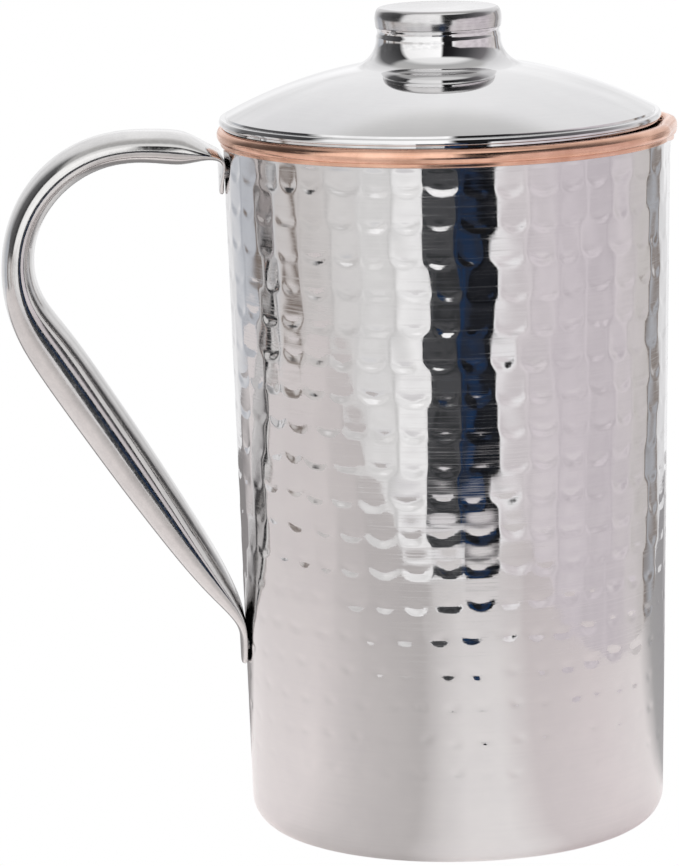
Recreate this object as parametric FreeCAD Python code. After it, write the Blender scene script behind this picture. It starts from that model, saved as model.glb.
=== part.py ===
"""Lidded water jug: a hammered steel cup lined with copper, a bent pipe handle and a domed lid.

Frame, in millimetres: the origin is the middle of the resting ring under the base and +Z is up.
The pouring beak points along +X and the handle along -X. Each piece is one STEP file in parts/.
"""

import FreeCAD, Part
import math
import os

from FreeCAD import Vector

# ---------------------------------------------------------------- driving dimensions

# Outer steel cup
RIM_RADIUS = 55.0  # outside of the steel wall at the rim
BASE_RADIUS = 51.45  # outside of the steel wall, carried straight down to the base
RIM_HEIGHT = 175.4  # top of the rolled copper rim
STEEL_WALL = 0.6
BASE_CORNER = 6.8  # outside radius where the wall turns into the base
FOOT_WIDTH = 4.0  # flat ring that the jug rests on
BASE_RECESS = 1.2  # how far the middle of the base is drawn up
RECESS_SLOPE = 1.2  # width of the slope up to that middle

# Copper lining and its rolled rim
COPPER_WALL = 0.5
WALL_GAP = 1.3  # air between the two cups
BEAD_RADIUS = 1.9  # outside radius of the roll
SKIRT_HEIGHT = 4.4  # from the top of the roll to the lower edge of the copper
LINER_CORNER = 6.0  # outside radius at the bottom of the lining
LIP_GAP = 0.2  # steel lip to the inside of the roll

# Pouring beak
BEAK_REACH = 1.0  # how far the rim stands out at the beak
BEAK_TIP_RADIUS = 12.0  # outside radius of the beak's point, on the roll
BEAK_FADE = 22.0  # height of wall over which the beak dies away

# Handle: one pipe, flattened to a tongue at both ends
PIPE_WALL = 0.8
PIPE_FLAT = 2.8  # thickness where it is pressed flat at the wall
BEND_RADIUS = 29.0  # middle line
HANDLE_RISE = 2.4  # middle line of the top run above its root
HANDLE_REACH = 51.2  # outside of the rim to the middle line, at the far side of the bend
HANDLE_SLOPE = 57.1  # lower run, degrees below level
RIM_CLEARANCE = 0.3  # root of the handle to the copper skirt above it
TOP_TONGUE_LENGTH = 10.2
TOP_TONGUE_WIDTH = 20.0
TOP_TONGUE_TIP = 8.0  # width of the rounded end
LOW_TONGUE_LENGTH = 10.0
LOW_TONGUE_WIDTH = 18.5
LOW_TONGUE_TIP = 14.0
TONGUE_THICKNESS = 1.2
HANDLE_STANDOFF = 0.1  # tongue to the steel wall

# Thickness in the plane of the handle and width across it. The top run has four stations from
# the wall to the bend, the bend six and the lower run six down to the wall.
TOP_RUN_SHARES = (0.0, 0.22, 0.5, 1.0)
LOW_RUN_SHARES = (0.12, 0.35, 0.6, 0.82, 0.94, 1.0)
BEND_STEPS = 6
PIPE_SIZES = (
    (PIPE_FLAT, 21.0), (6.0, 20.8), (8.2, 20.4), (8.0, 20.6),
    (8.2, 20.6), (8.3, 20.6), (8.2, 20.7), (8.0, 20.8), (9.0, 20.4), (11.6, 19.4),
    (12.6, 18.9), (12.2, 19.0), (11.0, 19.4), (8.8, 19.8), (5.6, 19.6), (PIPE_FLAT, 19.0),
)

# Spot welds
WELD_RADIUS = 1.5
WELD_DEPTH = 0.3  # into the steel wall
WELD_DROP = 4.5  # below the root of each tongue
TOP_WELD_SPACING = 6.0
LOW_WELD_SPACING = 8.0
LID_WELD_COUNT = 6
LID_WELD_RADIUS = 1.0
LID_WELD_DEPTH = 0.35  # into each of the two sheets
LID_WELD_START = 30.0  # degrees from +X to the first one

# Lid
LID_WALL = 0.6
LID_INSET = 0.2  # edge of the brim inside the top of the roll
LID_OFFSET = 1.5  # how far the lid lies towards the handle
LID_SEAT = 0.1  # lid to the top of the rim
DOME_CROWN = 13.2  # foot of the dome to where it would close over the axis
BRIM_HEIGHT = 1.6  # upright edge of the brim
BRIM_WIDTH = 1.6  # from that edge in to the crease at the foot of the dome
CREASE_STEP = 0.5  # top of the brim up to the foot of the dome
RETURN_WIDTH = 4.0  # brim sheet folded back underneath
COLLAR_PLAY = 2.4  # collar to the mouth, all round
COLLAR_DEPTH = 8.0
COLLAR_FLANGE = 3.4

# Knob
NECK_RADIUS = 15.3
NECK_FILLET = 7.0
NECK_LAND = 0.3  # upright stretch between the fillet and the groove
GROOVE_DEPTH = 0.25
GROOVE_WIDTH = 2.4
CAP_OVERHANG = 0.4  # side of the cap beyond the neck
CAP_HEIGHT = 4.8
CAP_CORNER = 1.8
CAP_WALL = 0.6
CAP_TOP = 0.7
CAP_PLAY = 0.1

OVERCUT = 1.0  # how far a cutting solid passes the face that it opens

# ---------------------------------------------------------------- sizes that follow

BEAD_MIDDLE_Z = RIM_HEIGHT - BEAD_RADIUS
SKIRT_BOTTOM = RIM_HEIGHT - SKIRT_HEIGHT
TAPER = (RIM_RADIUS - BASE_RADIUS) / SKIRT_BOTTOM
LIP_HEIGHT = RIM_HEIGHT - COPPER_WALL - LIP_GAP
BEAK_BOTTOM = SKIRT_BOTTOM - BEAK_FADE
STEEL_INSIDE = RIM_RADIUS - STEEL_WALL
LINER_OUTSIDE = STEEL_INSIDE - WALL_GAP
MOUTH_RADIUS = LINER_OUTSIDE - COPPER_WALL
BEAD_MIDDLE = MOUTH_RADIUS + BEAD_RADIUS
BEAD_OUTSIDE = BEAD_MIDDLE + BEAD_RADIUS
BEAK_CENTRE = BEAD_OUTSIDE + BEAK_REACH - BEAK_TIP_RADIUS
PANEL_TOP = BASE_RECESS + STEEL_WALL
HANDLE_ROOT = SKIRT_BOTTOM - RIM_CLEARANCE - PIPE_FLAT / 2.0
LID_RADIUS = BEAD_MIDDLE - LID_INSET
LID_BOTTOM = RIM_HEIGHT + LID_SEAT
BRIM_BOTTOM = LID_BOTTOM + LID_WALL
BRIM_TOP = BRIM_BOTTOM + BRIM_HEIGHT
COLLAR_RADIUS = MOUTH_RADIUS - COLLAR_PLAY
LID_AXIS = Vector(-LID_OFFSET, 0, 0)
CREASE_RADIUS = LID_RADIUS - BRIM_WIDTH
DOME_RADIUS = (CREASE_RADIUS ** 2 + DOME_CROWN ** 2) / (2.0 * DOME_CROWN)
DOME_MIDDLE_Z = BRIM_TOP + CREASE_STEP + DOME_CROWN - DOME_RADIUS
FILLET_MIDDLE = NECK_RADIUS + NECK_FILLET
FILLET_MIDDLE_Z = DOME_MIDDLE_Z + math.sqrt((DOME_RADIUS + NECK_FILLET) ** 2 - FILLET_MIDDLE ** 2)
GROOVE_BOTTOM = FILLET_MIDDLE_Z + NECK_LAND
CAP_BOTTOM = GROOVE_BOTTOM + GROOVE_WIDTH
CAP_RADIUS = NECK_RADIUS + CAP_OVERHANG
SPIGOT_RADIUS = CAP_RADIUS - CAP_WALL - CAP_PLAY


# ---------------------------------------------------------------- helpers

def line(a, b):
    """Straight edge between two points."""
    return Part.LineSegment(a, b).toShape()


def arc_between(middle, radius, start, end, place):
    """Arc of a circle from start to end degrees, with place giving its points in space."""
    points = []
    for angle in (start, (start + end) / 2.0, end):
        turn = math.radians(angle)
        points.append(place(middle[0] + radius * math.cos(turn), middle[1] + radius * math.sin(turn)))
    return Part.Arc(*points).toShape()


def section_point(radius, z):
    """A point of a section that is turned about the Z axis."""
    return Vector(radius, 0, z)


def revolve(edges, axis=Vector(0, 0, 0)):
    """Turn a closed chain of edges in the XZ plane about the upright line through axis."""
    face = Part.Face(Part.Wire(edges))
    solid = face.revolve(Vector(0, 0, 0), Vector(0, 0, 1), 360)
    solid.translate(axis)
    return solid


def chain(points):
    """Edges that join (radius, z) points one after another."""
    corners = [section_point(*point) for point in points]
    return [line(a, b) for a, b in zip(corners, corners[1:])]


def polygon(points):
    """Edges that join (radius, z) points in a closed chain."""
    return chain(points + points[:1])


def wall_radius(surface_at_rim, z):
    """Radius at height z of a wall that has the given radius under the copper, and is upright there."""
    return surface_at_rim - TAPER * max(SKIRT_BOTTOM - z, 0.0)


def cup_edges(surface_at_rim, bottom, corner, top):
    """Half section of a tapered cup, solid to the axis, with a rounded bottom corner."""
    side = math.atan(TAPER)
    # The corner touches the floor and the sloping wall.
    middle_z = bottom + corner
    middle_r = wall_radius(surface_at_rim, middle_z) - corner / math.cos(side)
    touch = -math.degrees(side)
    touch_point = section_point(
        middle_r + corner * math.cos(math.radians(touch)),
        middle_z + corner * math.sin(math.radians(touch)),
    )
    return [
        line(section_point(0, bottom), section_point(middle_r, bottom)),
        arc_between((middle_r, middle_z), corner, -90, touch, section_point),
        line(touch_point, section_point(wall_radius(surface_at_rim, top), top)),
        line(section_point(wall_radius(surface_at_rim, top), top), section_point(0, top)),
        line(section_point(0, top), section_point(0, bottom)),
    ]


def level_point(z):
    """Maker of points at height z."""
    return lambda x, y: Vector(x, y, z)


def beak_lean():
    """Degrees from +X at which the rim's circle meets the straight sides of the beak."""
    return math.degrees(math.acos((BEAD_OUTSIDE - BEAK_TIP_RADIUS) / BEAK_CENTRE))


def beak_wire(radius, z):
    """Level outline of the mouth: a circle with a rounded beak at +X, offset to the given radius."""
    place = level_point(z)
    lean = beak_lean()
    tip_radius = BEAK_TIP_RADIUS - (BEAD_OUTSIDE - radius)
    side_x = math.cos(math.radians(lean))
    side_y = math.sin(math.radians(lean))
    tip_x = BEAK_CENTRE + tip_radius * side_x
    return Part.Wire([
        arc_between((0, 0), radius, lean, 180, place),
        arc_between((0, 0), radius, 180, 360 - lean, place),
        line(place(radius * side_x, -radius * side_y), place(tip_x, -tip_radius * side_y)),
        arc_between((BEAK_CENTRE, 0), tip_radius, -lean, lean, place),
        line(place(tip_x, tip_radius * side_y), place(radius * side_x, radius * side_y)),
    ])


def round_wire(radius, z):
    """Level circle, cut into the same five edges as beak_wire."""
    place = level_point(z)
    lean = beak_lean()
    tip = lean * BEAK_TIP_RADIUS / BEAD_OUTSIDE
    return Part.Wire([
        arc_between((0, 0), radius, lean, 180, place),
        arc_between((0, 0), radius, 180, 360 - lean, place),
        arc_between((0, 0), radius, -lean, -tip, place),
        arc_between((0, 0), radius, -tip, tip, place),
        arc_between((0, 0), radius, tip, lean, place),
    ])


def beaked_top(surface_at_rim, top):
    """Solid top of a cup: round at BEAK_BOTTOM, beaked from SKIRT_BOTTOM up to top."""
    low = round_wire(wall_radius(surface_at_rim, BEAK_BOTTOM), BEAK_BOTTOM)
    high = beak_wire(surface_at_rim, SKIRT_BOTTOM)
    fading = Part.makeLoft([low, high], True, True)
    upright = Part.Face(high).extrude(Vector(0, 0, top - SKIRT_BOTTOM))
    return fading.fuse(upright)


def cup_solid(surface_at_rim, bottom, corner, top):
    """A whole cup as if it were full: turned below BEAK_BOTTOM, beaked above."""
    turned = revolve(cup_edges(surface_at_rim, bottom, corner, BEAK_BOTTOM))
    return turned.fuse(beaked_top(surface_at_rim, top)).removeSplitter()


def save(shape, name):
    """Write one piece."""
    shape.exportStep("parts/" + name + ".step")
    print(name, "valid", shape.isValid(), "solids", len(shape.Solids), "mm3", round(shape.Volume, 1))


# ---------------------------------------------------------------- steel cup

def weld_pins(z, spacing):
    """Two spot welds side by side, from half way into the steel wall to the tongue's face."""
    length = WELD_DEPTH + HANDLE_STANDOFF + TONGUE_THICKNESS
    pins = []
    for y in (-spacing / 2.0, spacing / 2.0):
        x = -math.sqrt(wall_radius(RIM_RADIUS, z) ** 2 - y ** 2)
        out = Vector(x, y, 0).normalize()
        pins.append(Part.makeCylinder(WELD_RADIUS, length, Vector(x, y, z) - out * WELD_DEPTH, out))
    return Part.Compound(pins)


def make_outer_shell(pins):
    """Drawn steel cup with its base panel raised and pockets where the handle is welded."""
    shell = cup_solid(RIM_RADIUS, 0.0, BASE_CORNER, LIP_HEIGHT)
    hollow = cup_solid(STEEL_INSIDE, STEEL_WALL, BASE_CORNER - STEEL_WALL, LIP_HEIGHT + OVERCUT)
    floor_radius = wall_radius(RIM_RADIUS, BASE_CORNER) - BASE_CORNER
    recess = floor_radius - FOOT_WIDTH
    panel = revolve(polygon([
        (0, -OVERCUT),
        (recess, -OVERCUT),
        (recess, 0),
        (recess - RECESS_SLOPE, BASE_RECESS),
        (0, BASE_RECESS),
    ]))
    raised = revolve(polygon([
        (0, STEEL_WALL / 2.0),
        (recess + STEEL_WALL, STEEL_WALL / 2.0),
        (recess + STEEL_WALL, STEEL_WALL),
        (recess + STEEL_WALL - RECESS_SLOPE, PANEL_TOP),
        (0, PANEL_TOP),
    ]))
    return shell.cut(hollow).fuse(raised).cut(panel).cut(pins).removeSplitter()


# ---------------------------------------------------------------- copper lining

def make_copper_liner():
    """Copper cup whose rim rolls out over the steel lip and closes down on the steel wall."""
    outside = cup_solid(LINER_OUTSIDE, PANEL_TOP, LINER_CORNER, BEAD_MIDDLE_Z)
    inside = cup_solid(
        MOUTH_RADIUS, PANEL_TOP + COPPER_WALL, LINER_CORNER - COPPER_WALL, RIM_HEIGHT + OVERCUT
    )
    cup = outside.cut(inside)
    roll = sweep_round_rim(rim_section())
    return cup.fuse(roll).removeSplitter()


def rim_section():
    """Closed section of the roll and skirt, in the plane of radius and height."""
    outer = BEAD_RADIUS
    inner = BEAD_RADIUS - COPPER_WALL
    skirt_outside = RIM_RADIUS + COPPER_WALL
    meet_outer = math.degrees(math.acos((skirt_outside - BEAD_MIDDLE) / outer))
    meet_inner = math.degrees(math.acos((RIM_RADIUS - BEAD_MIDDLE) / inner))
    middle = (BEAD_MIDDLE, BEAD_MIDDLE_Z)
    outer_foot = BEAD_MIDDLE_Z - outer * math.sin(math.radians(meet_outer))
    inner_foot = BEAD_MIDDLE_Z - inner * math.sin(math.radians(meet_inner))
    return [
        arc_between(middle, outer, 180, -meet_outer, section_point),
        line(section_point(skirt_outside, outer_foot), section_point(skirt_outside, SKIRT_BOTTOM)),
        line(section_point(skirt_outside, SKIRT_BOTTOM), section_point(RIM_RADIUS, SKIRT_BOTTOM)),
        line(section_point(RIM_RADIUS, SKIRT_BOTTOM), section_point(RIM_RADIUS, inner_foot)),
        arc_between(middle, inner, -meet_inner, 180, section_point),
        line(section_point(LINER_OUTSIDE, BEAD_MIDDLE_Z), section_point(MOUTH_RADIUS, BEAD_MIDDLE_Z)),
    ]


def sweep_round_rim(edges):
    """Carry the rim section round the mouth and its beak."""
    section = Part.Wire(edges)
    section.rotate(Vector(0, 0, 0), Vector(0, 0, 1), 180)
    path = beak_wire(BEAD_MIDDLE, BEAD_MIDDLE_Z).Edges
    # The path starts behind the jug, where the section lies.
    return Part.Wire(path[1:] + path[:1]).makePipeShell([section], True, False)


# ---------------------------------------------------------------- handle

def handle_stations():
    """Middle line of the pipe as (x, z, heading in degrees), from the top root to the lower one."""
    top = HANDLE_ROOT + HANDLE_RISE
    bend_x = BEND_RADIUS - RIM_RADIUS - HANDLE_REACH
    bend_z = top - BEND_RADIUS
    root = -wall_radius(RIM_RADIUS, HANDLE_ROOT)
    stations = []
    for share in TOP_RUN_SHARES:
        # The run climbs along a parabola that is level where the bend starts.
        drop = HANDLE_RISE * (1.0 - share) ** 2
        climb = math.degrees(math.atan(2.0 * HANDLE_RISE * (1.0 - share) / (root - bend_x)))
        stations.append((root + share * (bend_x - root), top - drop, 180.0 - climb))
    for step in range(1, BEND_STEPS + 1):
        swept = (180.0 - HANDLE_SLOPE) * step / BEND_STEPS
        angle = math.radians(90.0 + swept)
        x = bend_x + BEND_RADIUS * math.cos(angle)
        stations.append((x, bend_z + BEND_RADIUS * math.sin(angle), 180.0 + swept))
    x, z, heading = stations[-1]
    fall = math.tan(math.radians(HANDLE_SLOPE))
    # The lower run ends where x = -(wall radius).
    low_z = (z + fall * (x + wall_radius(RIM_RADIUS, 0.0))) / (1.0 - fall * TAPER)
    low_x = -wall_radius(RIM_RADIUS, low_z)
    for share in LOW_RUN_SHARES:
        stations.append((x + share * (low_x - x), z + share * (low_z - z), heading))
    return stations


def pipe_section(station, thickness, width):
    """Oval across the middle line."""
    x, z, heading = station
    turn = math.radians(heading)
    along = Vector(math.cos(turn), 0, math.sin(turn))
    across = Vector(0, 1, 0)
    ellipse = Part.Ellipse(
        Vector(x, 0, z) + across * (width / 2.0),
        Vector(x, 0, z) + along.cross(across) * (thickness / 2.0),
        Vector(x, 0, z),
    )
    return Part.Wire([ellipse.toShape()])


def tongue(root_z, length, width, tip_width):
    """Curved plate on the wall: a band of the wall's shape inside a rounded outline."""
    near = RIM_RADIUS + HANDLE_STANDOFF
    far = near + TONGUE_THICKNESS
    top = root_z + PIPE_FLAT / 2.0
    low = root_z - length
    band = revolve(polygon([
        (wall_radius(near, low), low),
        (wall_radius(far, low), low),
        (wall_radius(far, top), top),
        (wall_radius(near, top), top),
    ]))
    half = width / 2.0
    tip = tip_width / 2.0

    def place(y, z):
        return Vector(-2.0 * RIM_RADIUS, y, z)

    outline = Part.Wire([
        line(place(-half, top), place(half, top)),
        line(place(half, top), place(half, root_z)),
        line(place(half, root_z), place(tip, low + tip)),
        arc_between((0, low + tip), tip, 0, -180, place),
        line(place(-tip, low + tip), place(-half, root_z)),
        line(place(-half, root_z), place(-half, top)),
    ])
    return band.common(Part.Face(outline).extrude(Vector(2.0 * RIM_RADIUS, 0, 0)))


def rim_space():
    """Room that the handle leaves to the rolled rim and its skirt."""
    roll = revolve([Part.Circle(
        section_point(BEAD_MIDDLE, BEAD_MIDDLE_Z), Vector(0, 1, 0), BEAD_RADIUS + RIM_CLEARANCE
    ).toShape()])
    outer = RIM_RADIUS + COPPER_WALL + RIM_CLEARANCE
    skirt = revolve(polygon([
        (0, SKIRT_BOTTOM - RIM_CLEARANCE),
        (outer, SKIRT_BOTTOM - RIM_CLEARANCE),
        (outer, BEAD_MIDDLE_Z),
        (0, BEAD_MIDDLE_Z),
    ]))
    return roll.fuse(skirt)


def make_handle(stations, pins):
    """Hollow bent pipe with its two flattened tongues."""
    outer_sections = []
    inner_sections = []
    for station, (thickness, width) in zip(stations, PIPE_SIZES):
        outer_sections.append(pipe_section(station, thickness, width))
        inner_sections.append(
            pipe_section(station, thickness - 2.0 * PIPE_WALL, width - 2.0 * PIPE_WALL)
        )
    pipe = Part.makeLoft(outer_sections, True, False)
    bore = Part.makeLoft(inner_sections, True, False)
    top = tongue(HANDLE_ROOT, TOP_TONGUE_LENGTH, TOP_TONGUE_WIDTH, TOP_TONGUE_TIP)
    low = tongue(stations[-1][1], LOW_TONGUE_LENGTH, LOW_TONGUE_WIDTH, LOW_TONGUE_TIP)
    wall = revolve(polygon([
        (0, 0),
        (wall_radius(RIM_RADIUS + HANDLE_STANDOFF, 0), 0),
        (RIM_RADIUS + HANDLE_STANDOFF, SKIRT_BOTTOM),
        (RIM_RADIUS + HANDLE_STANDOFF, RIM_HEIGHT),
        (0, RIM_HEIGHT),
    ]))
    return pipe.fuse([top, low]).cut(wall).cut(bore).cut(rim_space()).cut(pins).removeSplitter()


# ---------------------------------------------------------------- lid

def make_lid_dome():
    """Dome with a drawn-up neck, a crease and brim round it, and the brim folded under."""
    dome = (0, DOME_MIDDLE_Z)
    fillet = (FILLET_MIDDLE, FILLET_MIDDLE_Z)
    lean = math.degrees(math.atan2(FILLET_MIDDLE_Z - DOME_MIDDLE_Z, FILLET_MIDDLE))
    inner_dome = DOME_RADIUS - LID_WALL
    neck_inside = NECK_RADIUS - LID_WALL
    spigot_inside = SPIGOT_RADIUS - LID_WALL
    hem_inside = CREASE_RADIUS - LID_WALL
    inner_foot = math.acos(hem_inside / inner_dome)
    groove = NECK_RADIUS - GROOVE_DEPTH
    spigot_top = CAP_BOTTOM + CAP_HEIGHT - CAP_CORNER
    corner = LID_WALL / 2.0
    edges = chain([
        (spigot_inside, spigot_top),
        (SPIGOT_RADIUS, spigot_top),
        (SPIGOT_RADIUS, CAP_BOTTOM),
        (groove, CAP_BOTTOM),
        (groove, GROOVE_BOTTOM + GROOVE_DEPTH),
        (NECK_RADIUS, GROOVE_BOTTOM),
        (NECK_RADIUS, FILLET_MIDDLE_Z),
    ])
    crease = math.degrees(math.acos(CREASE_RADIUS / DOME_RADIUS))
    edges.append(arc_between(fillet, NECK_FILLET, 180, 180 + lean, section_point))
    edges.append(arc_between(dome, DOME_RADIUS, lean, crease, section_point))
    edges += chain([
        (CREASE_RADIUS, BRIM_TOP + CREASE_STEP),
        (CREASE_RADIUS, BRIM_TOP),
        (LID_RADIUS - corner, BRIM_TOP),
        (LID_RADIUS, BRIM_TOP - corner),
        (LID_RADIUS, BRIM_BOTTOM + corner),
        (LID_RADIUS - corner, BRIM_BOTTOM),
        (LID_RADIUS - RETURN_WIDTH, BRIM_BOTTOM),
        (LID_RADIUS - RETURN_WIDTH, BRIM_BOTTOM + LID_WALL),
        (hem_inside, BRIM_BOTTOM + LID_WALL),
        (hem_inside, DOME_MIDDLE_Z + inner_dome * math.sin(inner_foot)),
    ])
    edges.append(arc_between(dome, inner_dome, math.degrees(inner_foot), lean, section_point))
    edges.append(arc_between(fillet, NECK_FILLET + LID_WALL, 180 + lean, 180, section_point))
    edges += chain([
        (neck_inside, FILLET_MIDDLE_Z),
        (neck_inside, GROOVE_BOTTOM),
        (spigot_inside, CAP_BOTTOM),
        (spigot_inside, spigot_top),
    ])
    return revolve(edges, LID_AXIS)


def make_knob_cap():
    """Drawn cap pressed over the neck."""
    top = CAP_BOTTOM + CAP_HEIGHT
    inner = CAP_RADIUS - CAP_WALL
    inner_corner = CAP_CORNER - CAP_WALL
    outer_z = top - CAP_CORNER
    inner_z = top - CAP_TOP - inner_corner
    return revolve([
        line(section_point(0, top), section_point(CAP_RADIUS - CAP_CORNER, top)),
        arc_between((CAP_RADIUS - CAP_CORNER, outer_z), CAP_CORNER, 90, 0, section_point),
        line(section_point(CAP_RADIUS, outer_z), section_point(CAP_RADIUS, CAP_BOTTOM)),
        line(section_point(CAP_RADIUS, CAP_BOTTOM), section_point(inner, CAP_BOTTOM)),
        line(section_point(inner, CAP_BOTTOM), section_point(inner, inner_z)),
        arc_between((inner - inner_corner, inner_z), inner_corner, 0, 90, section_point),
        line(section_point(inner - inner_corner, top - CAP_TOP), section_point(0, top - CAP_TOP)),
        line(section_point(0, top - CAP_TOP), section_point(0, top)),
    ], LID_AXIS)


def lid_weld_pins():
    """Ring of spot welds that hold the collar's flange to the folded brim."""
    ring = (COLLAR_RADIUS + COLLAR_FLANGE + LID_RADIUS - RETURN_WIDTH) / 2.0
    pins = []
    for index in range(LID_WELD_COUNT):
        turn = math.radians(LID_WELD_START + 360.0 * index / LID_WELD_COUNT)
        foot = Vector(ring * math.cos(turn), ring * math.sin(turn), BRIM_BOTTOM - LID_WELD_DEPTH)
        pins.append(Part.makeCylinder(LID_WELD_RADIUS, 2.0 * LID_WELD_DEPTH, foot + LID_AXIS))
    return Part.Compound(pins)


def make_lid_collar():
    """Ring that keeps the lid in the mouth: an upright wall under a flat flange."""
    outer = COLLAR_RADIUS
    inner = COLLAR_RADIUS - LID_WALL
    return revolve(polygon([
        (inner, LID_BOTTOM - COLLAR_DEPTH),
        (outer, LID_BOTTOM - COLLAR_DEPTH),
        (outer, LID_BOTTOM),
        (outer + COLLAR_FLANGE, LID_BOTTOM),
        (outer + COLLAR_FLANGE, BRIM_BOTTOM),
        (inner, BRIM_BOTTOM),
    ]), LID_AXIS)


# ---------------------------------------------------------------- build

def main():
    """Make every piece and write it."""
    os.makedirs("parts", exist_ok=True)
    stations = handle_stations()
    upper_pins = weld_pins(HANDLE_ROOT - WELD_DROP, TOP_WELD_SPACING)
    lower_pins = weld_pins(stations[-1][1] - WELD_DROP, LOW_WELD_SPACING)
    handle_pins = Part.Compound([upper_pins, lower_pins])
    lid_pins = lid_weld_pins()

    save(make_outer_shell(handle_pins), "outer_shell")
    save(make_copper_liner(), "copper_liner")
    save(make_handle(stations, handle_pins), "handle")
    save(upper_pins, "handle_upper_welds")
    save(lower_pins, "handle_lower_welds")
    save(make_lid_dome().cut(lid_pins), "lid_dome")
    save(make_lid_collar().cut(lid_pins), "lid_collar")
    save(lid_pins, "lid_collar_welds")
    save(make_knob_cap(), "knob_cap")


main()
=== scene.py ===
"""Looks of a lidded water jug: hammered steel outside, copper inside, a bent pipe handle and a knob.

Every length is in metres. Each class builds one sub-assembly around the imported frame.
"""

import logging
import math
import random
from dataclasses import dataclass, field
from enum import Enum

import bmesh
import bpy
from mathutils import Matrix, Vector, noise


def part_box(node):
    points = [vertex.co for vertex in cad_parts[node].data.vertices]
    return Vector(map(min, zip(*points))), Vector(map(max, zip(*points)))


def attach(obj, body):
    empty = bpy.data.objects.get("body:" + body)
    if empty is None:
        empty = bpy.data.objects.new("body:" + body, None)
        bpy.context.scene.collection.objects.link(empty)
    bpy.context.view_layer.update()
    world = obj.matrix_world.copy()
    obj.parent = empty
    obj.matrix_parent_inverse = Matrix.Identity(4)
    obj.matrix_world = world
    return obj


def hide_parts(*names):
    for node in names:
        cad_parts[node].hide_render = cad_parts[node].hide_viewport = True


MM = 0.001
TAU = 2.0 * math.pi
SHARP_ANGLE = math.radians(38.0)
GRAIN_LENGTH = 60.0  # how many times longer than wide a fine mark is
JUG = "jug"
LID = "lid"

log = logging.getLogger("jug")

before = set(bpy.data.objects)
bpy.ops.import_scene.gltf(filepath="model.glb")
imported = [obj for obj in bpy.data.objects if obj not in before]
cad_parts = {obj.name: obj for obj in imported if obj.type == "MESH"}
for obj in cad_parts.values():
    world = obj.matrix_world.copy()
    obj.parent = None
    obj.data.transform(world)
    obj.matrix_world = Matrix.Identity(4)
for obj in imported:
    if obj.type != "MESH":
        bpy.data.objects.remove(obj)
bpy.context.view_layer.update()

Point = tuple[float, float]
Colour = tuple[float, float, float]


# ---------------------------------------------------------------- small sums

def smooth(share: float) -> float:
    """Ease from 0 to 1 as share goes from 0 to 1, and hold outside that."""
    held = min(max(share, 0.0), 1.0)
    return held * held * (3.0 - 2.0 * held)


def fade(value: float, low: float, high: float) -> float:
    """Ease from 0 at low to 1 at high."""
    return smooth((value - low) / (high - low))


def arc(middle: Point, radius: float, start: float, end: float, steps: int) -> list[Point]:
    """Points along an arc of a section.

    Args:
        middle: Centre of the arc as (radius from the axis, height).
        radius: Radius of the arc.
        start: First angle in degrees, from the outward direction.
        end: Last angle in degrees.
        steps: Number of stretches.

    Returns:
        steps + 1 points as (radius from the axis, height).
    """
    points = []
    for step in range(steps + 1):
        angle = math.radians(start + (end - start) * step / steps)
        points.append((middle[0] + radius * math.cos(angle), middle[1] + radius * math.sin(angle)))
    return points


def divide(start: Point, end: Point, steps: int) -> list[Point]:
    """Points that cut a straight stretch evenly, with both ends."""
    return [
        (start[0] + (end[0] - start[0]) * step / steps, start[1] + (end[1] - start[1]) * step / steps)
        for step in range(steps + 1)
    ]


def rounded(corners: list[tuple[float, float, float]], steps: int = 5) -> list[Point]:
    """Open chain of points with its corners rounded.

    Args:
        corners: Points as (radius from the axis, height, corner radius). A radius of 0 stays sharp.
        steps: Stretches in each rounded corner.

    Returns:
        Points as (radius from the axis, height).
    """
    points: list[Point] = []
    for index, (x, z, size) in enumerate(corners):
        if size == 0.0 or index in (0, len(corners) - 1):
            points.append((x, z))
            continue
        here = Vector((x, z))
        back = (Vector(corners[index - 1][:2]) - here).normalized()
        on = (Vector(corners[index + 1][:2]) - here).normalized()
        half = back.angle(on) / 2.0
        reach = size / math.tan(half)
        start = here + back * reach
        end = here + on * reach
        middle = here + (back + on).normalized() * (size / math.sin(half))
        for step in range(steps + 1):
            share = step / steps
            lean = (start - middle).lerp(end - middle, share).normalized() * size
            points.append(tuple(middle + lean))
    return points


# ---------------------------------------------------------------- meshes

def spin_section(points: list[Point], steps: int, axis_x: float = 0.0) -> bmesh.types.BMesh:
    """Turn a closed section about an upright axis.

    Args:
        points: The section, as (radius from the axis, height), in order.
        steps: Stretches round the axis.
        axis_x: Where the axis crosses the X axis.

    Returns:
        A closed bmesh with its normals outward.
    """
    bm = bmesh.new()
    verts = [bm.verts.new((axis_x + x, 0.0, z)) for x, z in points]
    edges = [bm.edges.new(pair) for pair in zip(verts, verts[1:] + verts[:1])]
    bmesh.ops.spin(
        bm, geom=verts + edges, cent=(axis_x, 0.0, 0.0), axis=(0.0, 0.0, 1.0), dvec=(0.0, 0.0, 0.0),
        angle=TAU, steps=steps, use_merge=True, use_duplicate=False,
    )
    bmesh.ops.remove_doubles(bm, verts=bm.verts[:], dist=1e-6)
    bmesh.ops.recalc_face_normals(bm, faces=bm.faces[:])
    return bm


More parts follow.
